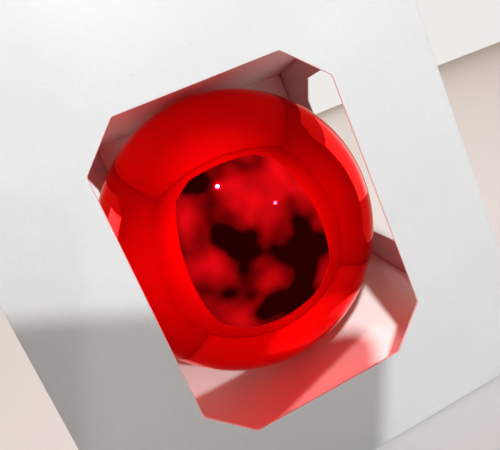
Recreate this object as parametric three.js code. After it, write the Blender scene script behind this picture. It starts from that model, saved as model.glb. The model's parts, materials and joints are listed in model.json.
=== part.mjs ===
// A folding paperboard gift box with three eight-sided die-cut windows. It holds one mirror-finish ball
// ornament, which stands in a folded card insert. The ball fits so closely that its cap and hanger only
// have room along an edge of the box, here the upper rear one.
// Millimetres, +Z up, the windowed front panel faces -Y, origin at the middle of the underside.
import * as THREE from 'three';

// --- Driving dimensions ---
const CARD = 0.45;               // paperboard thickness
const GAP = 0.2;                 // air between two sheets that lie on each other
const SETBACK = 0.5;             // from a fold line to the edge of the sheet that turns about it
const WIDTH = 106.5;             // between the middles of the left and right panels
const DEPTH = 106.5;             // between the middles of the front and back panels
const BALL_RADIUS = 50;
const BALL_WALL = 1;
const BALL_LEFT = 2.7;           // the loose ball rests this far left of the middle
const BALL_BACK = 1;             // and this far behind it
const WINDOW = { width: 56, height: 76.4, cut: 9.2, corner: 1.5 };
const FRONT_WINDOW_RISE = 5.8;   // middle of the front window above the ball's centre
const SIDE_WINDOW_RISE = 2.8;    // middle of each side window above the ball's centre
const CROWN_CLEARANCE = 1.3;     // from the ball's top to the platform above it
const HEADROOM = 19.5;           // from the platform to the lid
const DUST_FLAP_LENGTH = 40;
const TUCK_LENGTH = 16;
const TUCK_LEAN = THREE.MathUtils.degToRad(8);
const GLUE_FLAP_WIDTH = 15;
const NECK_RADIUS = 5.6;
const NECK_BORE = 4.6;
const NECK_HEIGHT = 6.5;
const CAP_RADIUS = 7.4;
const CAP_HEIGHT = 8;
const WIRE_RADIUS = 0.55;
const HANGER_TILT = THREE.MathUtils.degToRad(45); // from upright towards the rear

// --- Levels and places worked out from them ---
const LAYER = CARD + GAP;
const outerFlapZ = CARD / 2;
const innerFlapZ = outerFlapZ + LAYER;
const bottomDustZ = innerFlapZ + LAYER;
const insertBaseZ = bottomDustZ + LAYER;
const ballZ = insertBaseZ + CARD / 2 + GAP + BALL_RADIUS;
const platformZ = ballZ + BALL_RADIUS + CROWN_CLEARANCE + CARD / 2;
const lidZ = platformZ + HEADROOM;
const topDustZ = lidZ - LAYER;
const wallBottomZ = outerFlapZ + SETBACK;
const sideX = WIDTH / 2;
const frontY = -DEPTH / 2;
const backY = DEPTH / 2;
const glueFlapY = backY - LAYER;
const riserY = glueFlapY - LAYER;
const tuckFoldY = frontY + LAYER;
const insideEdge = sideX - CARD / 2 - GAP;

// --- Materials ---
const whiteCard = () => new THREE.MeshStandardMaterial({ color: 0xf0f1f3, roughness: 0.5, metalness: 0 });
const redMirror = () => new THREE.MeshStandardMaterial({ color: 0xc4000c, roughness: 0.06, metalness: 1 });
const goldMetal = () => new THREE.MeshStandardMaterial({ color: 0xd9b25a, roughness: 0.25, metalness: 1 });

// --- Sheet helpers ---
// An outline through the points, each corner rounded by its own radius (0 leaves it sharp).
function outline(target, points, radii) {
  const count = points.length;
  for (let i = 0; i < count; i += 1) {
    const here = new THREE.Vector2(...points[i]);
    const before = new THREE.Vector2(...points[(i + count - 1) % count]);
    const after = new THREE.Vector2(...points[(i + 1) % count]);
    const radius = Array.isArray(radii) ? radii[i] : radii;
    const start = before.sub(here).setLength(radius || 1).multiplyScalar(radius ? 1 : 0).add(here);
    const end = after.sub(here).setLength(radius || 1).multiplyScalar(radius ? 1 : 0).add(here);
    if (i === 0) target.moveTo(start.x, start.y);
    else target.lineTo(start.x, start.y);
    if (radius) target.quadraticCurveTo(here.x, here.y, end.x, end.y);
  }
  target.closePath();
  return target;
}

function rectangle(left, bottom, right, top) {
  return outline(new THREE.Shape(), [[left, bottom], [right, bottom], [right, top], [left, top]], 0);
}

// The window: a rectangle with its four corners cut off, centred at (x, z).
function windowHole(x, z) {
  const { width, height, cut, corner } = WINDOW;
  const w = width / 2;
  const h = height / 2;
  const quarter = [[w, h - cut], [w - cut, h], [-w + cut, h], [-w, h - cut]];
  const points = quarter.concat(quarter.map(([a, b]) => [-a, -b]));
  return outline(new THREE.Path(), points.map(([a, b]) => [x + a, z + b]), corner);
}

// A flat sheet whose middle plane is the outline's plane.
function sheet(name, shape) {
  const geometry = new THREE.ExtrudeGeometry(shape, { depth: CARD, bevelEnabled: false, curveSegments: 4 });
  geometry.translate(0, 0, -CARD / 2);
  const mesh = new THREE.Mesh(geometry, whiteCard());
  mesh.name = name;
  return mesh;
}

// Stands a sheet up facing -Y: the outline's x runs along +X and its y runs up.
function facingFront(mesh, y) {
  mesh.rotation.x = Math.PI / 2;
  mesh.position.y = y;
  return mesh;
}

// Stands a sheet up facing +X: the outline's x runs along +Y and its y runs up.
function facingSide(mesh, x) {
  const [right, up, out] = [[0, 1, 0], [0, 0, 1], [1, 0, 0]].map((axis) => new THREE.Vector3(...axis));
  mesh.setRotationFromMatrix(new THREE.Matrix4().makeBasis(right, up, out));
  mesh.position.x = x;
  return mesh;
}

function lying(mesh, z) {
  mesh.position.z = z;
  return mesh;
}

// --- The carton's walls ---
function frontPanel() {
  const shape = rectangle(-sideX + SETBACK, wallBottomZ, sideX - SETBACK, lidZ + CARD / 2);
  shape.holes.push(windowHole(0, ballZ + FRONT_WINDOW_RISE));
  return facingFront(sheet('front_panel', shape), frontY);
}

function backPanel() {
  const shape = rectangle(-sideX + SETBACK, wallBottomZ, sideX - SETBACK, lidZ - SETBACK);
  return facingFront(sheet('back_panel', shape), backY);
}

function sidePanel(name, x, rearEdge) {
  const shape = rectangle(frontY + SETBACK, wallBottomZ, rearEdge, topDustZ - SETBACK);
  shape.holes.push(windowHole(0, ballZ + SIDE_WINDOW_RISE));
  return facingSide(sheet(name, shape), x);
}

// The strip inside the back panel that the wrap of four walls is glued shut with.
function glueFlap() {
  const bevel = 6;
  const left = -sideX + SETBACK;
  const right = left + GLUE_FLAP_WIDTH;
  const low = insertBaseZ;
  const high = topDustZ - 2;
  const points = [[left, low], [right, low + bevel], [right, high - bevel], [left, high]];
  return facingFront(sheet('glue_flap', outline(new THREE.Shape(), points, 0)), glueFlapY);
}

// --- The glued bottom, from the outside in ---
function bottomFlaps() {
  const innerReach = 62;
  const dustReach = 40;
  const edge = insideEdge;
  const outer = rectangle(-sideX, frontY + SETBACK, sideX, backY);
  const inner = rectangle(-edge, backY - CARD / 2 - GAP - innerReach, edge, backY - CARD / 2 - GAP);
  const frontEdge = frontY + CARD / 2 + GAP;
  const rearEdge = glueFlapY - CARD / 2 - GAP;
  const bevel = 8;
  const dust = (side) => {
    const points = [
      [side * edge, frontEdge], [side * (edge - dustReach), frontEdge + bevel],
      [side * (edge - dustReach), rearEdge - bevel], [side * edge, rearEdge],
    ];
    return outline(new THREE.Shape(), points, 0);
  };
  return [
    lying(sheet('bottom_outer_flap', outer), outerFlapZ),
    lying(sheet('bottom_inner_flap', inner), innerFlapZ),
    lying(sheet('bottom_dust_flap_left', dust(-1)), bottomDustZ),
    lying(sheet('bottom_dust_flap_right', dust(1)), bottomDustZ),
  ];
}

// --- The folded insert: a base under the ball, a riser behind it and a platform over it ---
function insert() {
  const edge = insideEdge - GAP;
  const frontEdge = tuckFoldY;
  const base = rectangle(-edge, frontEdge, edge, riserY - SETBACK);
  const riser = rectangle(-edge, insertBaseZ + SETBACK, edge, platformZ - SETBACK);
  return [
    lying(sheet('insert_base', base), insertBaseZ),
    facingFront(sheet('insert_riser', riser), riserY),
    lying(sheet('insert_platform', base), platformZ),
  ];
}

// --- The lid, its tuck flap and the two dust flaps under it ---
function lid() {
  const hinge = new THREE.Group();
  hinge.position.set(0, backY, lidZ);
  const reach = backY - tuckFoldY - SETBACK;
  hinge.add(sheet('lid_panel', rectangle(-sideX, -reach, sideX, -SETBACK)));

  const tuck = new THREE.Group();
  tuck.position.y = -(reach + SETBACK);
  tuck.rotation.x = Math.PI / 2 + TUCK_LEAN;
  const half = insideEdge - 0.6;
  const round = 9;
  const points = [[-half, -TUCK_LENGTH], [half, -TUCK_LENGTH], [half, -SETBACK], [-half, -SETBACK]];
  tuck.add(sheet('lid_tuck_flap', outline(new THREE.Shape(), points, [round, round, 0, 0])));
  hinge.add(tuck);
  return hinge;
}

// Mitred at 45 degrees at its rear end, so that the rising lid stays ahead of it.
function dustFlap(name, side) {
  const hinge = new THREE.Group();
  hinge.position.set(side * sideX, 0, topDustZ);
  const front = tuckFoldY + 4;
  const rear = glueFlapY - 1.5;
  const shoulder = 5;
  const points = [
    [-side * SETBACK, front], [-side * DUST_FLAP_LENGTH, front + shoulder],
    [-side * DUST_FLAP_LENGTH, rear - DUST_FLAP_LENGTH], [-side * SETBACK, rear - SETBACK],
  ];
  hinge.add(sheet(name, outline(new THREE.Shape(), points, 0)));
  return hinge;
}

// --- The ball ornament ---
function lathe(name, points, segments, material) {
  const geometry = new THREE.LatheGeometry(points.map(([x, y]) => new THREE.Vector2(x, y)), segments);
  geometry.rotateX(Math.PI / 2);
  const mesh = new THREE.Mesh(geometry, material);
  mesh.name = name;
  return mesh;
}

// Points of an arc about the ball's centre, from one height angle to another (-90 is the lowest point).
function arc(radius, from, to, steps) {
  const points = [];
  for (let i = 0; i <= steps; i += 1) {
    const angle = THREE.MathUtils.lerp(from, to, i / steps);
    points.push([Math.max(0, radius * Math.cos(angle)), radius * Math.sin(angle)]);
  }
  return points;
}

function ballShell() {
  const inside = BALL_RADIUS - BALL_WALL;
  const lowest = -Math.PI / 2;
  const neckTop = BALL_RADIUS + NECK_HEIGHT;
  const outer = arc(BALL_RADIUS, lowest, Math.acos(NECK_RADIUS / BALL_RADIUS), 26);
  const inner = arc(inside, Math.acos(NECK_BORE / inside), lowest, 16);
  outer[0][0] = 0;
  inner[inner.length - 1][0] = 0;
  const points = [...outer, [NECK_RADIUS, neckTop], [NECK_BORE, neckTop], ...inner];
  return lathe('ball_shell', points, 48, redMirror());
}

// A thin metal cup over the neck with a flared skirt and a round opening for the wire's two legs.
function ballCap() {
  const wall = 0.4;
  const foot = Math.sqrt(BALL_RADIUS ** 2 - 8.8 ** 2) + 0.35;
  const top = BALL_RADIUS + CAP_HEIGHT;
  const opening = 3.2;
  const points = [
    [8.8, foot], [8.2, foot + 0.9], [CAP_RADIUS, foot + 2.2], [CAP_RADIUS, top - 1], [CAP_RADIUS - 1, top],
    [opening, top], [opening, top - wall], [CAP_RADIUS - 1 - wall / 2, top - wall],
    [CAP_RADIUS - wall, top - 1 - wall / 2], [CAP_RADIUS - wall, foot + 2.3], [8.2 - wall, foot + 1.1],
    [8.8 - wall, foot + 0.2], [8.8, foot],
  ];
  return lathe('ball_cap', points, 32, goldMetal());
}

// One bent wire: two legs that spring apart inside the neck, a narrow waist and a round eye above the cap.
function hangerWire() {
  const top = BALL_RADIUS + CAP_HEIGHT;
  const side = [
    [3.1, top - 11], [2.7, top - 7], [2.1, top - 3], [1.9, top], [2.1, top + 1.6], [3.9, top + 3.4],
    [4.3, top + 5.8], [2.9, top + 8.3], [0, top + 9.3],
  ];
  const mirrored = side.slice(0, -1).reverse().map(([x, z]) => [-x, z]);
  const path = new THREE.CatmullRomCurve3(side.concat(mirrored).map(([x, z]) => new THREE.Vector3(x, 0, z)));
  const section = new THREE.Shape().absarc(0, 0, WIRE_RADIUS, 0, 2 * Math.PI, false);
  const options = { steps: 56, curveSegments: 4, extrudePath: path, bevelEnabled: false };
  const mesh = new THREE.Mesh(new THREE.ExtrudeGeometry(section, options), goldMetal());
  mesh.name = 'hanger_wire';
  return mesh;
}

function ornament() {
  const group = new THREE.Group();
  group.position.set(-BALL_LEFT, BALL_BACK, ballZ);
  group.rotation.x = -HANGER_TILT;
  group.add(ballShell(), ballCap(), hangerWire());
  return group;
}

// --- The whole box ---
const giftBox = new THREE.Group();
giftBox.add(
  frontPanel(),
  backPanel(),
  sidePanel('left_panel', -sideX, glueFlapY - SETBACK),
  sidePanel('right_panel', sideX, backY - SETBACK),
  glueFlap(),
  ...bottomFlaps(),
  ...insert(),
  dustFlap('dust_flap_left', -1),
  dustFlap('dust_flap_right', 1),
  lid(),
  ornament(),
);

export default giftBox;
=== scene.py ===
import json
from math import cos, pi, radians, sin, tan

import bmesh
import bpy
from bpy.props import FloatProperty, FloatVectorProperty, IntProperty, PointerProperty
from mathutils import Matrix, Vector


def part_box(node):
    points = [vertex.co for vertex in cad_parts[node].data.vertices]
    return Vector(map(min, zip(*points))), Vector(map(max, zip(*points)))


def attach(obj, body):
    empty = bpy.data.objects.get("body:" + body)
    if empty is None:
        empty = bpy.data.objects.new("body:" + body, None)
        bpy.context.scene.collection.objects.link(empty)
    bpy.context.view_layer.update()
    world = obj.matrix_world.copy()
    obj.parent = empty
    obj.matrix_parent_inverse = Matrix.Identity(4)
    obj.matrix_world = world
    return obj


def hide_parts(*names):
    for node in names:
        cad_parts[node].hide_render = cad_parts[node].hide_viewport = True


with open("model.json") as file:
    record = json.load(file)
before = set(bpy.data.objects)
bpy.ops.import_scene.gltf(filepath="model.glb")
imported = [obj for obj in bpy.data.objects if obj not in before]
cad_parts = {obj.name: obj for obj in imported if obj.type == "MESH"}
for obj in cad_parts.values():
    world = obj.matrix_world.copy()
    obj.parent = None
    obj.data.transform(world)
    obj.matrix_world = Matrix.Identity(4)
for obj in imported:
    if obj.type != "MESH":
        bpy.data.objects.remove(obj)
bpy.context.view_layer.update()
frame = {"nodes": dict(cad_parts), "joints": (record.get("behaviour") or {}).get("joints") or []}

bl_info = {
    "name": "Windowed Gift Box",
    "version": (1, 0, 0),
    "blender": (4, 5, 0),
    "location": "3D View > Sidebar > Gift Box",
    "description": "A folded card gift box with cut windows and a red mirror ball inside",
    "category": "Object",
}

MM = 0.001
X, Y, Z = Vector((1, 0, 0)), Vector((0, 1, 0)), Vector((0, 0, 1))
CARD_FINISHES = ("coated_card", "cut_edge")
INSERT_FINISHES = ("insert_board", "insert_edge")
FLOOR_GREY = (0.66, 0.66, 0.66)
SHARP_EDGE = radians(28)        # a fold sharper than this is shaded as an edge
GLUE_FLAP_CUT = 6 * MM          # how far the glue flap's ends slope
BOTTOM_FLAP_CUT = 8 * MM        # how far the sides of the bottom's dust flaps slope
GRID_STEPS = 14                 # faces along each side of a sheet that bows
NOTHING = 1e-9                  # a length that counts as none


# ---------------------------------------------------------------- sizes and colours

class CardSettings(bpy.types.PropertyGroup):
    """The paperboard of the carton and of its insert."""
    bow: FloatProperty(
        name="Bow", description="How far the middle of a wall stands out", default=0.0002, unit="LENGTH")
    window_cut: FloatProperty(
        name="Window corner cut", description="Length taken off each side at a window's corner",
        default=0.0092, unit="LENGTH")
    window_round: FloatProperty(
        name="Window corner radius", description="Radius that the cutting rule leaves in each corner",
        default=0.0012, unit="LENGTH")
    tuck_round: FloatProperty(
        name="Tuck flap radius", description="Radius of the tuck flap's two free corners",
        default=0.009, unit="LENGTH")
    edge_bevel: FloatProperty(
        name="Edge bevel", description="Softness of a cut edge", default=0.00004, unit="LENGTH")
    bead: FloatProperty(
        name="Fold bead radius", description="Radius of the card along a fold that moves",
        default=0.0003, unit="LENGTH")
    white: FloatVectorProperty(
        name="Coated white", description="Colour of the carton's faces", subtype="COLOR", size=3,
        default=(0.765, 0.785, 0.80), min=0, max=1)
    insert_white: FloatVectorProperty(
        name="Insert white", description="Colour of the insert's board", subtype="COLOR", size=3,
        default=(0.90, 0.885, 0.87), min=0, max=1)


class BallSettings(bpy.types.PropertyGroup):
    """The ball ornament."""
    wall: FloatProperty(
        name="Wall", description="Thickness of the moulded shell", default=0.001, unit="LENGTH")
    segments: IntProperty(name="Segments", description="Steps round the ball", default=192, min=24)
    lacquer: FloatVectorProperty(
        name="Lacquer", description="Colour of the mirror lacquer", subtype="COLOR", size=3,
        default=(0.95, 0.0, 0.004), min=0, max=1)
    metal: FloatVectorProperty(
        name="Cap metal", description="Colour of the cap and its wire", subtype="COLOR", size=3,
        default=(0.87, 0.64, 0.27), min=0, max=1)
    flutes: IntProperty(name="Flutes", description="Flutes round the cap's skirt", default=26, min=8)
    flute_depth: FloatProperty(
        name="Flute depth", description="Depth of each flute", default=0.00022, unit="LENGTH")
    wire: FloatProperty(
        name="Wire radius", description="Radius of the hanger's wire", default=0.00055, unit="LENGTH")


class StudioSettings(bpy.types.PropertyGroup):
    """The room that the box is seen in."""
    key: FloatProperty(name="Key lamp", description="Power of the high lamp in watts", default=25.0, min=0)
    side: FloatProperty(name="Side lamp", description="Power of the small low lamp", default=3.0, min=0)
    fill: FloatProperty(name="Front fill", description="Power of the lamp that fills the front", default=2.0,
                        min=0)
    rear: FloatProperty(name="Rear lamp", description="Power of the soft lamp behind", default=9.0, min=0)
    glow: FloatProperty(
        name="Ball glow", description="Power of the red light that the ball throws round the box",
        default=0.10, min=0)
    patch: FloatProperty(name="Patch", description="Power of the lamp for the floor's pale patch",
                         default=15.0, min=0)
    thrown: FloatProperty(name="Thrown light", description="Power of the pale red light on the box's floor",
                          default=0.10, min=0)
    card: FloatProperty(name="Side cards", description="Power of each bright card beside the box",
                        default=1.5, min=0)
    room: FloatProperty(name="Room light", description="Brightness of the warm room", default=0.6, min=0)
    dark: FloatProperty(
        name="Dark end", description="Brightness of the room's dark end, in front of the box",
        default=0.9, min=0)
    backdrop: FloatProperty(
        name="Backdrop", description="Brightness of the backdrop behind the box", default=0.85, min=0)
    lens: FloatProperty(name="Lens", description="Focal length in millimetres", default=22.464, min=1)


# ---------------------------------------------------------------- materials

def node_adder(tree):
    """A function that adds a node to the tree, sets it and wires it."""
    def add(kind, inputs=None, **settings):
        node = tree.nodes.new("ShaderNode" + kind)
        for key, value in settings.items():
            setattr(node, key, value)
        for key, value in (inputs or {}).items():
            if isinstance(value, bpy.types.NodeSocket):
                tree.links.new(value, node.inputs[key])
            else:
                node.inputs[key].default_value = value
        return node

    return add


def new_material(name):
    """A new node material, its shader, and the function that adds nodes to it."""
    material = bpy.data.materials.new(name)
    material.use_nodes = True
    return material, material.node_tree.nodes["Principled BSDF"], node_adder(material.node_tree)


def wire_up(shader, **sources):
    """Links each source to the shader's socket of that name."""
    for name, source in sources.items():
        shader.id_data.links.new(source, shader.inputs[name.replace("_", " ")])


def object_point(add, scale=(1, 1, 1), turn=(0, 0, 0)):
    """Object coordinates, turned and then stretched."""
    turned = add("Mapping", {"Vector": add("TexCoord").outputs["Object"], "Rotation": turn})
    return add("Mapping", {"Vector": turned.outputs["Vector"], "Scale": scale}).outputs["Vector"]


def noise(add, point, scale, detail=3.0, roughness=0.5):
    """A noise pattern's value at the point."""
    inputs = {"Vector": point, "Scale": scale, "Detail": detail, "Roughness": roughness}
    return add("TexNoise", inputs).outputs["Fac"]


def ramp(add, value, low, high, low_value=0.0, high_value=1.0):
    """Takes low..high to low_value..high_value and holds both ends."""
    inputs = {"Value": value, "From Min": low, "From Max": high, "To Min": low_value, "To Max": high_value}
    return add("MapRange", inputs).outputs["Result"]


def blend_colours(add, factor, first, second):
    """first where the factor is 0, second where it is 1. Each may be a colour or a socket."""
    node = add("Mix", data_type="RGBA")
    sockets = {s.name: s for s in node.inputs if s.enabled}
    for name, value in (("Factor", factor), ("A", first), ("B", second)):
        if isinstance(value, bpy.types.NodeSocket):
            node.id_data.links.new(value, sockets[name])
        else:
            sockets[name].default_value = (*value, 1.0)
    return next(s for s in node.outputs if s.enabled)


def bump(add, height, strength, distance, under=None, invert=False):
    """The normal over a height pattern, on top of the normal under it."""
    inputs = {"Height": height, "Strength": strength, "Distance": distance}
    if under:
        inputs["Normal"] = under
    return add("Bump", inputs, invert=invert).outputs["Normal"]


def darker(colour, factor):
    """The colour with each part times the factor."""
    return tuple(c * factor for c in colour)


def card_material(name, colour, roughness, coat, fibre):
    """Paperboard: cloudy formation, fine fibres both ways, small specks, and a coat that is glossier or
    duller from place to place."""
    material, shader, add = new_material(name)
    point = object_point(add)
    clouds = noise(add, point, 60, 4)
    fibres = noise(add, object_point(add, (1, 1, 0.22)), 1900, 4, 0.6)
    cross_fibres = noise(add, object_point(add, (0.25, 0.3, 1)), 1500, 3, 0.6)
    specks = ramp(add, noise(add, point, 900, 1), 0.74, 0.80, 0, 0.35)
    cloudy = blend_colours(add, ramp(add, clouds, 0.35, 0.65), darker(colour, 0.972), colour)
    fibrous = blend_colours(add, ramp(add, fibres, 0.35, 0.75, 0, 0.5), cloudy, darker(colour, 0.93))
    speckled = blend_colours(add, specks, fibrous, darker(colour, 0.72))
    felt = add("Math", {0: fibres, 1: cross_fibres}, operation="ADD").outputs["Value"]
    surface = bump(add, noise(add, point, 28, 2), 0.25, 0.0004, bump(add, felt, fibre, 0.00004))
    gloss = ramp(add, clouds, 0.3, 0.7, roughness - 0.05, roughness + 0.06)
    wire_up(shader, Base_Color=speckled, Roughness=gloss, Normal=surface)
    shader.inputs["Coat Weight"].default_value = coat
    shader.inputs["Coat Roughness"].default_value = 0.28
    return material


def cut_edge_material(name, colour):
    """The raw edge of the board, where a steel rule has parted its layers of fibre."""
    material, shader, add = new_material(name)
    point = object_point(add)
    layers = noise(add, point, 2600, 3, 0.7)
    nicks = ramp(add, noise(add, point, 420, 2), 0.62, 0.7, 0, 0.4)
    fibrous = blend_colours(add, ramp(add, layers, 0.35, 0.7), darker(colour, 0.80), colour)
    wire_up(shader, Base_Color=blend_colours(add, nicks, fibrous, darker(colour, 0.7)),
            Normal=bump(add, layers, 0.6, 0.00005))
    shader.inputs["Roughness"].default_value = 0.85
    return material


def mirror_lacquer(name, colour):
    """Red lacquer over a mirror coat, with hairline scratches that run one way, a fine haze, and a
    slight ripple from the mould."""
    material, shader, add = new_material(name)
    point = object_point(add)
    depth = ramp(add, noise(add, point, 22, 2), 0.35, 0.65)
    rubbed = object_point(add, (1, 1, 0.018), (0.2, radians(-28), 0.1))
    rubbed_patch = ramp(add, noise(add, point, 34, 2), 0.50, 0.66)
    hair = ramp(add, noise(add, rubbed, 2600, 2, 0.6), 0.66, 0.76)
    line = add("Math", {0: hair, 1: rubbed_patch}, operation="MULTIPLY").outputs["Value"]
    haze = ramp(add, noise(add, point, 4200, 2, 0.7), 0.6, 0.9, 0.0, 0.10)
    roughness = add("Math", {0: ramp(add, line, 0, 1, 0.025, 0.30), 1: haze}, operation="ADD")
    ripple = bump(add, noise(add, point, 46, 2), 0.12, 0.0002, bump(add, line, 0.25, 0.00001, invert=True))
    wire_up(shader, Base_Color=blend_colours(add, depth, darker(colour, 0.93), colour),
            Roughness=roughness.outputs["Value"], Normal=ripple)
    shader.inputs["Metallic"].default_value = 1.0
    shader.inputs["Specular Tint"].default_value = (1.0, 0.35, 0.35, 1.0)
    shader.inputs["Coat Weight"].default_value = 0.05
    shader.inputs["Coat Roughness"].default_value = 0.02
    shader.inputs["Coat IOR"].default_value = 1.45
    return material


def pressed_metal(name, colour):
    """Thin gold-coloured metal, rolled one way and dulled by handling."""
    material, shader, add = new_material(name)
    rolled = noise(add, object_point(add, (1, 1, 0.05)), 1800, 2)
    worn = noise(add, object_point(add), 300, 4)
    wire_up(shader, Base_Color=blend_colours(add, ramp(add, worn, 0.4, 0.7), colour, darker(colour, 0.72)),
            Roughness=ramp(add, worn, 0.3, 0.7, 0.16, 0.34), Normal=bump(add, rolled, 0.3, 0.00002))
    shader.inputs["Metallic"].default_value = 1.0
    return material


def floor_material(name, colour):
    """A plain pale floor."""
    material, shader, add = new_material(name)
    wire_up(shader, Roughness=ramp(add, noise(add, object_point(add), 90, 3), 0.3, 0.7, 0.55, 0.65))
    shader.inputs["Base Color"].default_value = (*colour, 1.0)
    return material


def material_of(name):
    """Each finish is made once, when the first piece asks for it."""
    known = bpy.data.materials.get(name)
    if known:
        return known
    card = bpy.context.scene.gift_box_card
    ball = bpy.context.scene.gift_box_ball
    white, insert = tuple(card.white), tuple(card.insert_white)
    makers = {
        "coated_card": (card_material, white, 0.46, 0.18, 0.22),
        "insert_board": (card_material, insert, 0.62, 0.05, 0.4),
        "cut_edge": (cut_edge_material, white),
        "insert_edge": (cut_edge_material, insert),
        "red_mirror_lacquer": (mirror_lacquer, tuple(ball.lacquer)),
        "gold_pressed_metal": (pressed_metal, tuple(ball.metal)),
        "pale_floor": (floor_material, FLOOR_GREY),
    }
    maker, *values = makers[name]
    return maker(name, *values)


# ---------------------------------------------------------------- making pieces

def finish_piece(name, bm, finishes, body, nodes=()):
    """Turns a bmesh into a piece that rides on a body and stands for its CAD nodes."""
    bmesh.ops.recalc_face_normals(bm, faces=bm.faces)
    for face in bm.faces:
        face.smooth = True
    for edge in bm.edges:
        edge.smooth = len(edge.link_faces) == 2 and edge.calc_face_angle() < SHARP_EDGE
    mesh = bpy.data.meshes.new(name)
    bm.to_mesh(mesh)
    bm.free()
    for finish in finishes:
        mesh.materials.append(material_of(finish))
    piece = bpy.data.objects.new(name, mesh)
    bpy.context.scene.collection.objects.link(piece)
    if body:
        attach(piece, body)
    if nodes:
        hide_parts(*nodes)
    return piece


def rounded(points, radii, steps=5):
    """The outline through the points, with each corner rounded by its radius."""
    result = []
    for i, point in enumerate(points):
        here = Vector(point)
        radius = radii[i] if isinstance(radii, (list, tuple)) else radii
        if not radius:
            result.append(here)
            continue
        back = (Vector(points[i - 1]) - here).normalized()
        onward = (Vector(points[(i + 1) % len(points)]) - here).normalized()
        half = back.angle(onward) / 2
        centre = here + (back + onward).normalized() * (radius / sin(half))
        start = here + back * (radius / tan(half)) - centre
        end = here + onward * (radius / tan(half)) - centre
        result += [centre + start.slerp(end, i / steps) * radius for i in range(steps + 1)]
    return result


def thicken(bm, thickness, bevel):
    """Gives a sheet that lies in the XY plane its thickness, half to each side. Its rim gets the second
    finish and a fine bevel."""
    sheet = list(bm.faces)
    bmesh.ops.translate(bm, verts=bm.verts, vec=(0, 0, -thickness / 2))
    grown = bmesh.ops.extrude_face_region(bm, geom=sheet, use_keep_orig=True)["geom"]
    top = {g for g in grown if isinstance(g, bmesh.types.BMFace)}
    raised = [g for g in grown if isinstance(g, bmesh.types.BMVert)]
    bmesh.ops.translate(bm, verts=raised, vec=(0, 0, thickness))
    rim = set(bm.faces) - top - set(sheet)
    for face in rim:
        face.material_index = 1
    borders = [e for e in bm.edges if len({f in rim for f in e.link_faces}) == 2]
    bmesh.ops.bevel(bm, geom=borders, offset=bevel, segments=1, profile=0.5, affect="EDGES", material=-1)
    return bm


def flat_sheet(points, thickness, bevel):
    """A sheet of one outline with nothing cut out of it."""
    bm = bmesh.new()
    bm.faces.new([bm.verts.new((p[0], p[1], 0)) for p in points])
    return thicken(bm, thickness, bevel)


def bow_out(bm, low, high, bow):
    """Lifts the middle of a sheet that spans low..high."""
    for vert in bm.verts:
        u = 2 * (vert.co.x - low[0]) / (high[0] - low[0]) - 1
        v = 2 * (vert.co.y - low[1]) / (high[1] - low[1]) - 1
        vert.co.z += bow * (1 - u * u) * (1 - v * v)


def bowed_sheet(low, high, thickness, bevel, bow):
    """A plain sheet over low..high whose middle stands out a little."""
    bm = bmesh.new()
    bmesh.ops.create_grid(bm, x_segments=GRID_STEPS, y_segments=GRID_STEPS, size=0.5)
    scale = (high[0] - low[0], high[1] - low[1], 1)
    bmesh.ops.scale(bm, verts=bm.verts, vec=scale)
    bmesh.ops.translate(bm, verts=bm.verts, vec=((low[0] + high[0]) / 2, (low[1] + high[1]) / 2, 0))
    bow_out(bm, low, high, bow)
    return thicken(bm, thickness, bevel)


def holed_sheet(hole, low, high, thickness, bevel, bow=0.0, rows=7):
    """A sheet over low..high with a hole round the middle. Rows of faces run from the hole's edge to the
    sheet's edge, which lets the sheet bow a little."""
    loop = list(hole)
    for corner in ((low[0], low[1]), (high[0], low[1]), (high[0], high[1]), (low[0], high[1])):
        corner = Vector(corner)
        for i, point in enumerate(loop):
            after = loop[(i + 1) % len(loop)]
            side, side_after = corner.cross(point), corner.cross(after)
            if point.dot(corner) > 0 and side * side_after < 0:
                loop.insert(i + 1, point.lerp(after, side / (side - side_after)))
                break
    bm = bmesh.new()
    inner = [bm.verts.new((*p, 0)) for p in loop]
    rim = [bm.edges.new((inner[i - 1], vert)) for i, vert in enumerate(inner)]
    grown = bmesh.ops.extrude_edge_only(bm, edges=rim)["geom"]
    for vert in (g for g in grown if isinstance(g, bmesh.types.BMVert)):
        vert.co *= min((high[i] if vert.co[i] > 0 else low[i]) / vert.co[i]
                       for i in (0, 1) if abs(vert.co[i]) > NOTHING)
    spokes = [e for e in bm.edges if len(e.link_faces) == 2]
    bmesh.ops.subdivide_edges(bm, edges=spokes, cuts=rows - 1, use_grid_fill=True)
    bow_out(bm, low, high, bow)
    return thicken(bm, thickness, bevel)


def stand(bm, along, up, place):
    """Takes a sheet from the XY plane to its place: its x runs along and its y runs up."""
    matrix = Matrix((along, up, along.cross(up))).transposed().to_4x4()
    matrix.translation = place
    bmesh.ops.transform(bm, matrix=matrix, verts=bm.verts)
    return bm


def middle(node):
    """The middle of a CAD node's box."""
    low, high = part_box(node)
    return (low + high) / 2


def thickness_of(node, axis):
    """A CAD node's size along an axis."""
    low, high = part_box(node)
    return high[axis] - low[axis]


def inner_box(node, axis):
    """The span along axis and Z of what is cut out of a CAD panel, read from the panel's points."""
    low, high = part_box(node)
    cut = [v.co for v in frame["nodes"][node].data.vertices
           if low[axis] + MM < v.co[axis] < high[axis] - MM and low.z + MM < v.co.z < high.z - MM]
    spans = [[c[axis] for c in cut], [c.z for c in cut]]
    return [min(s) for s in spans], [max(s) for s in spans]


def ornament_place():
    """The matrix from the ball's own axes, its hanger up its Z, to its place in the box."""
    joint = next(j for j in frame["joints"] if j["child"] == "ornament")
    centre = Vector(joint["pos_m"])
    wire = frame["nodes"]["hanger_wire"].data.vertices
    axis = sum((v.co for v in wire), Vector()) / len(wire) - centre
    return Matrix.Translation(centre) @ Z.rotation_difference(axis).to_matrix().to_4x4()


def ornament_points(node):
    """A CAD node's points in the ball's own axes."""
    return [BALL.inverted() @ v.co for v in frame["nodes"][node].data.vertices]


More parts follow.
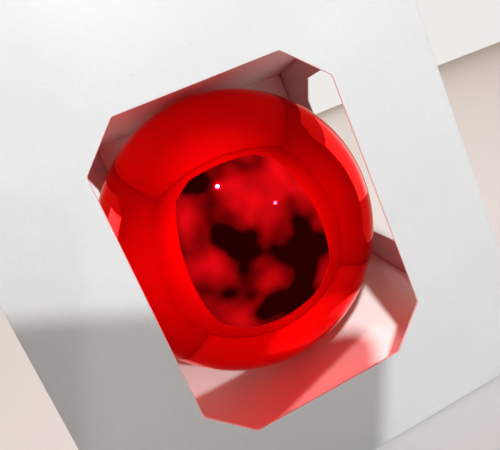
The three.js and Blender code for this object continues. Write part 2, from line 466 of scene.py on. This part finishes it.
CARD = thickness_of("front_panel", 1)
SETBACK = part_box("front_panel")[0].x - middle("left_panel").x     # from a fold's line to a sheet's edge
BALL = ornament_place()


def ball_radius():
    """From the ball's middle to its lowest point in its own axes."""
    return -min(p.z for p in ornament_points("ball_shell"))


def fold_strip(corner, first, second, low, high, steps=6):
    """The bent card between two fixed sheets. first and second point from the fold line into the two
    sheets, and low..high is the fold's stretch along its own line."""
    line = second.cross(first)
    centre = corner + (first + second) * SETBACK
    bm = bmesh.new()
    section = []
    for end, side in ((low, -1), (low, 1), (high, 1), (high, -1)):
        start = corner + first * SETBACK + second * (side * CARD / 2)
        section.append(bm.verts.new(start + line * (end - start.dot(line))))
    face = bm.faces.new(section)
    bmesh.ops.spin(bm, geom=[face, *face.edges, *face.verts], cent=centre, axis=line, angle=pi / 2,
                   steps=steps, use_merge=False, use_duplicate=False)
    return bm


def fold_span(first, second, low, high):
    """low..high measured along the fold's own direction, which may point the other way."""
    line = second.cross(first)
    return (low, high) if sum(line) > 0 else (-high, -low)


def rod(start, end, radius, sides=16):
    """A straight rod between two points."""
    bm = bmesh.new()
    length = (end - start).length
    bmesh.ops.create_cone(bm, cap_ends=True, segments=sides, radius1=radius, radius2=radius, depth=length)
    turn = Z.rotation_difference(end - start).to_matrix().to_4x4()
    turn.translation = (start + end) / 2
    bmesh.ops.transform(bm, matrix=turn, verts=bm.verts)
    return bm


def turned(points, steps):
    """A ring-shaped solid: the closed outline of (radius, height) points, spun round the upright axis."""
    bm = bmesh.new()
    verts = [bm.verts.new(X * r + Z * z) for r, z in points]
    edges = [bm.edges.new((verts[i - 1], vert)) for i, vert in enumerate(verts)]
    bmesh.ops.spin(bm, geom=[*verts, *edges], cent=(0, 0, 0), axis=Z, angle=2 * pi, steps=steps,
                   use_merge=True, use_duplicate=False)
    bmesh.ops.remove_doubles(bm, verts=bm.verts, dist=1e-6)
    return bm


def smooth_path(points, steps=6):
    """A smooth curve through the points, with its ends left as they are."""
    result = []
    for i in range(len(points) - 1):
        before, start, end = points[max(i - 1, 0)], points[i], points[i + 1]
        after = points[min(i + 2, len(points) - 1)]
        for step in range(steps):
            t = step / steps
            result.append(0.5 * (2 * start + (end - before) * t
                                 + (2 * before - 5 * start + 4 * end - after) * t ** 2
                                 + (3 * start - before - 3 * end + after) * t ** 3))
    return result + [points[-1]]


def swept(path, radius, sides=12):
    """A round wire along a path of points, made by extruding one ring from point to point."""
    bm = bmesh.new()
    ways = [(path[min(i + 1, len(path) - 1)] - path[max(i - 1, 0)]).normalized() for i in range(len(path))]
    bmesh.ops.create_circle(bm, cap_ends=True, segments=sides, radius=radius)
    place = Z.rotation_difference(ways[0]).to_matrix().to_4x4()
    place.translation = path[0]
    bmesh.ops.transform(bm, matrix=place, verts=bm.verts)
    ring = list(bm.edges)
    for i in range(1, len(path)):
        grown = bmesh.ops.extrude_edge_only(bm, edges=ring)["geom"]
        ring = [g for g in grown if isinstance(g, bmesh.types.BMEdge)]
        verts = [g for g in grown if isinstance(g, bmesh.types.BMVert)]
        turn = Matrix.Translation(path[i]) @ ways[i - 1].rotation_difference(ways[i]).to_matrix().to_4x4()
        bmesh.ops.transform(bm, matrix=turn @ Matrix.Translation(-path[i - 1]), verts=verts)
    bmesh.ops.contextual_create(bm, geom=ring)
    return bm


# ---------------------------------------------------------------- the pieces, one operator for each kind

class GIFTBOX_OT_windowed_walls(bpy.types.Operator):
    """The three walls with an eight-sided window."""
    bl_idname = "giftbox.windowed_walls"
    bl_label = "Windowed walls"

    def execute(self, context):
        card = context.scene.gift_box_card
        for name, node, axis, along in (("front_wall", "front_panel", 0, X),
                                        ("right_wall", "right_panel", 1, Y),
                                        ("left_wall", "left_panel", 1, -Y)):
            low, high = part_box(node)
            first, last = inner_box(node, axis)
            centre = Vector((first[0] + last[0], first[1] + last[1])) / 2
            w, h = (last[0] - first[0]) / 2, (last[1] - first[1]) / 2
            cut = card.window_cut
            quarter = [(w, h - cut), (w - cut, h), (-w + cut, h), (-w, h - cut)]
            window = rounded(quarter + [(-a, -b) for a, b in quarter], card.window_round)
            sign = along[axis]
            ends = sorted((sign * (low[axis] - centre[0]), sign * (high[axis] - centre[0])))
            corner = ((ends[0], low.z - centre[1]), (ends[1], high.z - centre[1]))
            bm = holed_sheet(window, *corner, CARD, card.edge_bevel, card.bow)
            place = middle(node)
            place[axis], place.z = centre
            finish_piece(name, stand(bm, along, Z, place), CARD_FINISHES, "carton", [node])
        return {"FINISHED"}


class GIFTBOX_OT_back_wall(bpy.types.Operator):
    """The plain back wall and the glue flap behind its seam."""
    bl_idname = "giftbox.back_wall"
    bl_label = "Back wall"

    def execute(self, context):
        card = context.scene.gift_box_card
        low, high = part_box("back_panel")
        centre = middle("back_panel")
        half = (high.x - low.x) / 2
        reach = SETBACK - card.bead
        bm = bowed_sheet((-half, low.z - centre.z), (half, high.z - centre.z + reach), CARD,
                         card.edge_bevel, card.bow)
        finish_piece("back_wall", stand(bm, -X, Z, centre), CARD_FINISHES, "carton", ["back_panel"])
        low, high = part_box("glue_flap")
        points = [(low.x, low.z), (high.x, low.z + GLUE_FLAP_CUT), (high.x, high.z - GLUE_FLAP_CUT),
                  (low.x, high.z)]
        bm = flat_sheet(points, CARD, card.edge_bevel)
        finish_piece("glue_flap_sheet", stand(bm, X, Z, Vector((0, middle("glue_flap").y, 0))),
                     CARD_FINISHES, "carton", ["glue_flap"])
        return {"FINISHED"}


class GIFTBOX_OT_folds(bpy.types.Operator):
    """The bent card at every fold that stays as it is."""
    bl_idname = "giftbox.folds"
    bl_label = "Fixed folds"

    def execute(self, context):
        left, right = middle("left_panel").x, middle("right_panel").x
        front, back = middle("front_panel").y, middle("back_panel").y
        glue = middle("glue_flap").y
        foot, side_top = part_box("left_panel")[0].z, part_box("left_panel")[1].z
        floor = middle("bottom_outer_flap").z
        for name, corner, first, second, low, high in (
                ("front_left_fold", Vector((left, front, 0)), X, Y, foot, side_top),
                ("front_right_fold", Vector((right, front, 0)), Y, -X, foot, side_top),
                ("back_right_fold", Vector((right, back, 0)), -X, -Y, foot, side_top),
                ("glue_flap_fold", Vector((left, glue, 0)), -Y, X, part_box("glue_flap")[0].z,
                 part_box("glue_flap")[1].z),
                ("bottom_fold", Vector((0, front, floor)), Z, Y, left + SETBACK, right - SETBACK)):
            bm = fold_strip(corner, first, second, *fold_span(first, second, low, high))
            finish_piece(name, bm, CARD_FINISHES, "carton")
        base, riser, platform = (middle("insert_" + n) for n in ("base", "riser", "platform"))
        low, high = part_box("insert_riser")[0].x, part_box("insert_riser")[1].x
        for name, height, up in (("insert_lower_fold", base.z, Z), ("insert_upper_fold", platform.z, -Z)):
            bm = fold_strip(Vector((0, riser.y, height)), -Y, up, *fold_span(-Y, up, low, high))
            finish_piece(name, bm, INSERT_FINISHES, "carton")
        return {"FINISHED"}


class GIFTBOX_OT_bottom(bpy.types.Operator):
    """The four glued flaps of the bottom."""
    bl_idname = "giftbox.bottom"
    bl_label = "Bottom flaps"

    def execute(self, context):
        card, cut = context.scene.gift_box_card, BOTTOM_FLAP_CUT
        for node in ("bottom_outer_flap", "bottom_inner_flap", "bottom_dust_flap_left",
                     "bottom_dust_flap_right"):
            low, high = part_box(node)
            points = [(low.x, low.y), (high.x, low.y), (high.x, high.y), (low.x, high.y)]
            if node.endswith("left"):
                points[1:3] = [(high.x, low.y + cut), (high.x, high.y - cut)]
            if node.endswith("right"):
                points[0], points[3] = (low.x, low.y + cut), (low.x, high.y - cut)
            bm = flat_sheet(points, CARD, card.edge_bevel)
            bmesh.ops.translate(bm, verts=bm.verts, vec=Z * middle(node).z)
            finish_piece(node + "_sheet", bm, CARD_FINISHES, "carton", [node])
        return {"FINISHED"}


class GIFTBOX_OT_insert(bpy.types.Operator):
    """The folded insert: the base under the ball, the riser behind it and the platform over it."""
    bl_idname = "giftbox.insert"
    bl_label = "Insert"

    def execute(self, context):
        card = context.scene.gift_box_card
        for node, up, bow in (("insert_base", Y, 0), ("insert_platform", Y, card.bow),
                              ("insert_riser", Z, 0)):
            low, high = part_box(node)
            size = Vector((high.x - low.x, (high - low).dot(up))) / 2
            bm = bowed_sheet(-size, size, CARD, card.edge_bevel, bow)
            finish_piece(node + "_sheet", stand(bm, X, up, middle(node)), INSERT_FINISHES, "carton",
                         [node])
        return {"FINISHED"}


class GIFTBOX_OT_lid(bpy.types.Operator):
    """The lid, its tuck flap and the beads of card along their folds."""
    bl_idname = "giftbox.lid"
    bl_label = "Lid and tuck flap"

    def execute(self, context):
        card = context.scene.gift_box_card
        low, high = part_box("lid_panel")
        centre = middle("lid_panel")
        reach = SETBACK - card.bead
        half = (high.x - low.x) / 2, (high.y - low.y) / 2 + reach
        bm = bowed_sheet((-half[0], -half[1]), half, CARD, card.edge_bevel, 0)
        finish_piece("lid_sheet", stand(bm, X, Y, centre), CARD_FINISHES, "lid", ["lid_panel"])

        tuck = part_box("lid_tuck_flap")
        pivot = Vector((0, low.y - SETBACK, centre.z))
        tip = tuck[0].z
        points = [v.co for v in frame["nodes"]["lid_tuck_flap"].data.vertices]
        lowest = [p for p in points if p.z < tip + CARD / 4]
        lean = Vector((0, max(p.y for p in points) - CARD / 2, tip)) - pivot
        length = (Vector((0, sum(p.y for p in lowest) / len(lowest), tip)) - pivot).length
        down = Vector((0, lean.y, lean.z)).normalized()
        wide = tuck[1].x
        outline = rounded([(-wide, length), (-wide, card.bead), (wide, card.bead), (wide, length)],
                          [card.tuck_round, 0, 0, card.tuck_round], 8)
        bm = flat_sheet(outline, CARD, card.edge_bevel)
        finish_piece("tuck_flap_sheet", stand(bm, X, down, pivot), CARD_FINISHES, "tuck_flap",
                     ["lid_tuck_flap"])

        hinge = Vector((0, high.y + SETBACK, centre.z))
        for name, place, width, body in (("lid_fold_bead", hinge, half[0] - SETBACK, "carton"),
                                         ("tuck_fold_bead", pivot, wide, "lid")):
            bm = rod(place - X * width, place + X * width, card.bead)
            finish_piece(name, bm, CARD_FINISHES, body)
        return {"FINISHED"}


class GIFTBOX_OT_dust_flaps(bpy.types.Operator):
    """The two flaps under the lid, and the beads of card along their folds."""
    bl_idname = "giftbox.dust_flaps"
    bl_label = "Dust flaps"

    def execute(self, context):
        card = context.scene.gift_box_card
        for side, word in ((-1, "left"), (1, "right")):
            node = "dust_flap_" + word
            low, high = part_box(node)
            fold = middle(word + "_panel").x
            reach = SETBACK - card.bead
            corners = [v.co for v in frame["nodes"][node].data.vertices]
            tips = sorted(c.y for c in corners if abs(c.x) < abs(fold) - 20 * MM)
            roots = sorted(c.y for c in corners if abs(c.x) > abs(fold) - 2 * SETBACK)
            root, tip = fold - side * card.bead, low.x if side > 0 else high.x
            points = [(root, roots[0]), (tip, tips[0]), (tip, tips[-1]), (root, roots[-1] + reach)]
            bm = flat_sheet(points, CARD, card.edge_bevel)
            bmesh.ops.translate(bm, verts=bm.verts, vec=Z * middle(node).z)
            body = word + "_dust_flap"
            finish_piece(node + "_sheet", bm, CARD_FINISHES, body, [node])
            ends = [Vector((fold, y, middle(node).z)) for y in (roots[0], roots[-1])]
            finish_piece(node + "_bead", rod(*ends, card.bead), CARD_FINISHES, "carton")
        return {"FINISHED"}


class GIFTBOX_OT_ball(bpy.types.Operator):
    """The mirror ball: a moulded shell with a short neck."""
    bl_idname = "giftbox.ball"
    bl_label = "Mirror ball"

    def execute(self, context):
        ball = context.scene.gift_box_ball
        points = ornament_points("ball_shell")
        radius = ball_radius()
        top_of_neck = max(p.z for p in points)
        neck = max(p.xy.length for p in points if p.z > top_of_neck - MM / 2)
        bm = bmesh.new()
        bmesh.ops.create_uvsphere(bm, u_segments=ball.segments, v_segments=ball.segments // 2, radius=radius)
        collar = Z * (radius ** 2 - neck ** 2) ** 0.5
        geometry = [*bm.verts, *bm.edges, *bm.faces]
        bmesh.ops.bisect_plane(bm, geom=geometry, plane_co=collar, plane_no=Z, clear_outer=True)
        rim = [e for e in bm.edges if e.is_boundary]
        grown = bmesh.ops.extrude_edge_only(bm, edges=rim)["geom"]
        top = [g for g in grown if isinstance(g, bmesh.types.BMVert)]
        bmesh.ops.translate(bm, verts=top, vec=Z * top_of_neck - collar)
        bmesh.ops.recalc_face_normals(bm, faces=bm.faces)
        bmesh.ops.solidify(bm, geom=[*bm.verts, *bm.edges, *bm.faces], thickness=ball.wall)
        bmesh.ops.transform(bm, matrix=BALL, verts=bm.verts)
        finish_piece("mirror_ball", bm, ["red_mirror_lacquer"], "ornament", ["ball_shell"])
        return {"FINISHED"}


class GIFTBOX_OT_cap(bpy.types.Operator):
    """The pressed cap, with a fluted skirt and a rolled rim round its opening."""
    bl_idname = "giftbox.cap"
    bl_label = "Cap"

    def execute(self, context):
        ball = context.scene.gift_box_ball
        points = ornament_points("ball_cap")
        foot = min(p.z for p in points)
        skirt, height = max(p.x for p in points), max(p.z for p in points) - foot
        body, wall, opening = skirt - 1.4 * MM, 0.4 * MM, 3.2 * MM
        crown = rounded([(body, height - 3 * MM), (body, height), (opening, height)], [0, 1.1 * MM, 0], 8)
        outside = [(skirt, 0), (skirt - 0.25 * MM, 0.5 * MM), (body + 0.45 * MM, 1.3 * MM),
                   (body + 0.05 * MM, 2.2 * MM), (body, 3 * MM), *[tuple(p) for p in crown]]
        lip = [(opening, height - 0.9 * MM), (opening + wall, height - 0.9 * MM),
               (opening + wall, height - wall)]
        inside = [(r - wall, z - wall / 2) for r, z in reversed(outside[:-1]) if z > MM / 4]
        inside = [(r, max(z, wall / 2)) for r, z in inside if r > opening + 2 * wall]
        bm = turned(outside + lip + inside, ball.flutes * 6)
        for vert in bm.verts:
            across = Vector(vert.co.xy)
            share = max(0.0, min(1.0, (across.length - body + 2 * wall) / (2 * wall)))
            share *= max(0.0, min(1.0, (height - 1.6 * MM - vert.co.z) / MM))
            wave = cos(ball.flutes * X.xy.angle_signed(across, 0.0)) * ball.flute_depth * share
            vert.co += across.normalized().to_3d() * (wave - ball.flute_depth * share)
        bmesh.ops.transform(bm, matrix=BALL @ Matrix.Translation(Z * foot), verts=bm.verts)
        finish_piece("ball_cap_pressing", bm, ["gold_pressed_metal"], "ornament", ["ball_cap"])
        return {"FINISHED"}


class GIFTBOX_OT_hanger(bpy.types.Operator):
    """The sprung wire hanger, with a round eye above the cap."""
    bl_idname = "giftbox.hanger"
    bl_label = "Wire hanger"

    def execute(self, context):
        ball = context.scene.gift_box_ball
        points = ornament_points("hanger_wire")
        cap_top = max(p.z for p in ornament_points("ball_cap"))
        eye = max(p.x for p in points) - ball.wire
        top, foot = max(p.z for p in points) - ball.wire, min(p.z for p in points) + ball.wire
        side = [(eye * 0.72, foot), (eye * 0.63, foot + 4 * MM), (eye * 0.49, cap_top - 3 * MM),
                (eye * 0.44, cap_top), (eye * 0.49, cap_top + 1.6 * MM), (eye * 0.9, cap_top + 3.4 * MM),
                (eye, cap_top + 5.8 * MM), (eye * 0.68, cap_top + 8.3 * MM), (0, top)]
        corners = side + [(-x, z) for x, z in reversed(side[:-1])]
        bm = swept(smooth_path([Vector((x, 0, z)) for x, z in corners]), ball.wire)
        bmesh.ops.transform(bm, matrix=BALL, verts=bm.verts)
        finish_piece("hanger_bent_wire", bm, ["gold_pressed_metal"], "ornament", ["hanger_wire"])
        return {"FINISHED"}


# ---------------------------------------------------------------- the stage

ORNAMENT_PIECES = ("mirror_ball", "ball_cap_pressing", "hanger_bent_wire")
BOX_FLOOR = ("insert_base_sheet",)
# from the ball's middle to each lamp
KEY_WAY, SIDE_WAY, FILL_WAY = (Vector(way).normalized() for way in (
    (-0.07, -0.75, 0.66), (0.48, -0.85, 0.20), (0.50, -0.80, 0.33)))
REAR_PLACE = Vector((0, 0.9, 0.9))
RIGHT_CARD_PLACE, LEFT_CARD_PLACE = Vector((0.40, 0.20, -0.03)), Vector((-0.42, 0.06, 0.05))
# the pale patch low on the left of the box's floor, and the way to its lamp
PATCH_PLACE, PATCH_WAY = Vector((-43, 0, 2.4)) * MM, Vector((0.50, -0.80, 0.33))
# the light that the ball throws on the front of the box's floor, and the mask inside the ball that cuts it
THROWN_PLACE = Vector((6.1, -31.4, 2.4)) * MM
THROWN_COLOUR = (1.0, 0.36, 0.37)
MASK_CORNERS, MASK_HEIGHT = ((17.8, -17.4), (-18.5, -30.2), (-26.8, -6.6), (9.5, 6.2)), 32.4
GLOW_COLOUR = (1.0, 0.0, 0.004)
# the card that keeps the key lamp off the low left of the box
SHADE_SIZE, SHADE_ROUND = (150 * MM, 76 * MM), 9 * MM
SHADE_PLACE, SHADE_TILT = (12.5 * MM, -120 * MM, 99 * MM), radians(24)
WARM, PALE = (1.0, 0.70, 0.52), (1.0, 0.975, 0.94)
CAMERA_PLACE = (-0.00573, -0.11968, 0.084341)
CAMERA_TURN = tuple(radians(angle) for angle in (83.1641, 22.8835, -9.6454))
CAMERA_SHIFT = (0.0096, -0.1215)


class GIFTBOX_OT_stage(bpy.types.Operator):
    """The pale floor, the room, the lamps and the camera."""
    bl_idname = "giftbox.stage"
    bl_label = "Stage"

    def execute(self, context):
        scene = context.scene
        studio = scene.gift_box_studio
        scene.view_settings.view_transform = "Standard"
        bm = bmesh.new()
        bmesh.ops.create_circle(bm, cap_ends=True, segments=96, radius=1.6)
        bmesh.ops.translate(bm, verts=bm.verts, vec=-Z * MM / 10)
        finish_piece("floor", bm, ["pale_floor"], None).visible_glossy = False
        self.light_box(studio)
        self.light_floor_of_box(studio)
        self.light_room(scene, studio)
        self.place_camera(scene, studio)
        return {"FINISHED"}

    def light_box(self, studio):
        """The lamps round the box, and the red light that the ball throws back into it."""
        centre = BALL.translation
        key = dict(kind="POINT", place=centre + KEY_WAY, power=studio.key, size=24 * MM)
        self.link(self.add_lamp("key_lamp", **key), unlit=("floor",))
        self.add_lamp("side_lamp", "POINT", centre + SIDE_WAY, studio.side, 20 * MM)
        fill = self.add_lamp("front_fill", "POINT", centre + FILL_WAY, studio.fill, 60 * MM)
        fill.visible_glossy = False
        self.add_shade_card()
        self.link(self.add_lamp("ground_lamp", **key, shiny=False), lit=("floor",),
                  lets_through=("lamp_shade_card",))
        self.link(self.add_lamp("insert_lamp", **key, shiny=False), lit=BOX_FLOOR)
        self.add_mask()
        thrown = centre + KEY_WAY * ball_radius() / 2
        for name, way, power in (("ball_glow", (0, -0.95, -0.22), studio.glow),
                                 ("ceiling_glow", (0, 0.25, 1), studio.glow * 0.05)):
            glow = self.add_lamp(name, "SPOT", thrown, power, 2 * MM, way, (170, 0.8), GLOW_COLOUR)
            self.link(glow, unlit=("floor",), lets_through=(*ORNAMENT_PIECES, "thrown_light_mask"))
        for name, place, power in (("right_card_lamp", RIGHT_CARD_PLACE, studio.card / 4),
                                   ("left_card_lamp", LEFT_CARD_PLACE, studio.card)):
            card = self.add_lamp(name, "AREA", centre + place, power, 0.26, -place)
            card.visible_camera = card.visible_diffuse = False
            self.link(card, lit=ORNAMENT_PIECES)
        self.add_lamp("rear_lamp", "AREA", centre + REAR_PLACE, studio.rear, 0.7, -REAR_PLACE)

    def light_floor_of_box(self, studio):
        """Two narrow lamps for the pale places on the box's floor."""
        thrown = BALL.translation + KEY_WAY * ball_radius() / 2
        lamp = self.add_lamp("thrown_light", "SPOT", thrown, studio.thrown, 1.5 * MM, THROWN_PLACE - thrown,
                             (40, 0.3), THROWN_COLOUR, shiny=False)
        self.link(lamp, lit=BOX_FLOOR, lets_through=ORNAMENT_PIECES)
        lamp = self.add_lamp("patch_lamp", "SPOT", PATCH_PLACE + PATCH_WAY * 0.6, studio.patch, 6 * MM,
                             -PATCH_WAY, (3.6, 0.4), shiny=False)
        self.link(lamp, lit=BOX_FLOOR)

    def add_lamp(self, name, kind, place, power, size, way=None, cone=None, colour=None, shiny=True):
        """A lamp that shines along way. cone is a spot's angle in degrees and the softness of its rim, and
        a lamp that isn't shiny gives no highlight."""
        light = bpy.data.lights.new(name, kind)
        light.energy = power
        setattr(light, "size" if kind == "AREA" else "shadow_soft_size", size)
        if cone:
            light.spot_size, light.spot_blend = radians(cone[0]), cone[1]
        if colour:
            light.color = colour
        lamp = bpy.data.objects.new(name, light)
        lamp.location = place
        if way is not None:
            lamp.rotation_euler = Vector(way).to_track_quat("-Z", "Y").to_euler()
        lamp.visible_glossy = shiny
        bpy.context.scene.collection.objects.link(lamp)
        return lamp

    def link(self, lamp, lit=(), unlit=(), lets_through=()):
        """Makes a lamp light only the pieces in lit, or all but those in unlit. The pieces in lets_through
        don't shade it."""
        if lit or unlit:
            lamp.light_linking.receiver_collection = self.group(
                lamp.name + "_lights", lit or unlit, "INCLUDE" if lit else "EXCLUDE")
        if lets_through:
            lamp.light_linking.blocker_collection = self.group(
                lamp.name + "_passes", lets_through, "EXCLUDE")

    def group(self, name, pieces, state):
        """A collection of pieces that takes them into a lamp's light or shade, or leaves them out."""
        group = bpy.data.collections.new(name)
        for piece in pieces:
            group.objects.link(bpy.data.objects[piece])
        for entry in group.collection_objects:
            entry.light_linking.link_state = state
        return group

    def add_hidden_sheet(self, name, corners, matrix):
        """A sheet on the stage that shows nowhere and only casts a shadow."""
        bm = bmesh.new()
        bm.faces.new([bm.verts.new((*p, 0)) for p in corners])
        bmesh.ops.transform(bm, matrix=matrix, verts=bm.verts)
        sheet = finish_piece(name, bm, ["pale_floor"], None)
        sheet.visible_camera = sheet.visible_diffuse = sheet.visible_glossy = False

    def add_mask(self):
        """The mask inside the ball that gives the light thrown on the box's floor its straight edge."""
        corners = [Vector(corner) * MM for corner in MASK_CORNERS]
        self.add_hidden_sheet("thrown_light_mask", corners, Matrix.Translation(Z * MASK_HEIGHT * MM))

    def add_shade_card(self):
        """The card that keeps the key lamp off the low left of the box."""
        width, height = SHADE_SIZE
        corners = rounded([(0, 0), (-width, 0), (-width, -height), (0, -height)], SHADE_ROUND)
        turn = Matrix.Rotation(SHADE_TILT, 4, "Y") @ Matrix.Rotation(radians(90), 4, "X")
        turn.translation = SHADE_PLACE
        self.add_hidden_sheet("lamp_shade_card", corners, turn)

    def light_room(self, scene, studio):
        """A warm even room, cloudy and darker at the end the box faces, in front of a pale backdrop."""
        scene.world = bpy.data.worlds.new("room")
        scene.world.use_nodes = True
        tree = scene.world.node_tree
        add = node_adder(tree)
        way = add("TexCoord").outputs["Generated"]
        ahead = add("VectorMath", {0: way, 1: (0, -1, 0)}, operation="DOT_PRODUCT").outputs["Value"]
        clouds = ramp(add, noise(add, way, 1.3, 2.0), 0.40, 0.66, 0.02, studio.dark)
        seen = add("LightPath")
        shine = add("Math", {0: seen.outputs["Is Glossy Ray"], 1: 0.7, 2: 0.4}, operation="MULTIPLY_ADD")
        front = add("Math", {0: shine.outputs["Value"], 1: clouds}, operation="MULTIPLY").outputs["Value"]
        room = blend_colours(add, ramp(add, ahead, 0.0, 0.35), darker(WARM, studio.room), front)
        looked = blend_colours(add, seen.outputs["Is Camera Ray"], room, darker(PALE, studio.backdrop))
        tree.links.new(looked, tree.nodes["Background"].inputs["Color"])

    def place_camera(self, scene, studio):
        """The camera, close to the front window."""
        camera = bpy.data.cameras.new("camera")
        camera.lens, camera.sensor_width, camera.clip_start = studio.lens, 36, 2 * MM
        camera.shift_x, camera.shift_y = CAMERA_SHIFT
        scene.camera = bpy.data.objects.new("camera", camera)
        scene.camera.location, scene.camera.rotation_euler = CAMERA_PLACE, CAMERA_TURN
        scene.collection.objects.link(scene.camera)


class GIFTBOX_PT_sidebar(bpy.types.Panel):
    """Lists the gift box's settings and its operators."""
    bl_idname = "GIFTBOX_PT_sidebar"
    bl_label = "Gift Box"
    bl_space_type = "VIEW_3D"
    bl_region_type = "UI"
    bl_category = "Gift Box"

    def draw(self, context):
        for group in (context.scene.gift_box_card, context.scene.gift_box_ball,
                      context.scene.gift_box_studio):
            box = self.layout.box()
            for name in type(group).__annotations__:
                box.prop(group, name)
        for operator in OPERATORS:
            self.layout.operator(operator.bl_idname)


GROUPS = {"gift_box_card": CardSettings, "gift_box_ball": BallSettings, "gift_box_studio": StudioSettings}
OPERATORS = (GIFTBOX_OT_windowed_walls, GIFTBOX_OT_back_wall, GIFTBOX_OT_folds, GIFTBOX_OT_bottom,
             GIFTBOX_OT_insert, GIFTBOX_OT_lid, GIFTBOX_OT_dust_flaps, GIFTBOX_OT_ball, GIFTBOX_OT_cap,
             GIFTBOX_OT_hanger, GIFTBOX_OT_stage)
CLASSES = (*GROUPS.values(), *OPERATORS, GIFTBOX_PT_sidebar)


def register():
    for cls in CLASSES:
        bpy.utils.register_class(cls)
    for name, group in GROUPS.items():
        setattr(bpy.types.Scene, name, PointerProperty(type=group))


def unregister():
    for name in GROUPS:
        delattr(bpy.types.Scene, name)
    for cls in reversed(CLASSES):
        bpy.utils.unregister_class(cls)


def main():
    register()
    for operator in OPERATORS:
        group, name = operator.bl_idname.split(".")
        getattr(getattr(bpy.ops, group), name)()


if __name__ == "__main__":
    main()
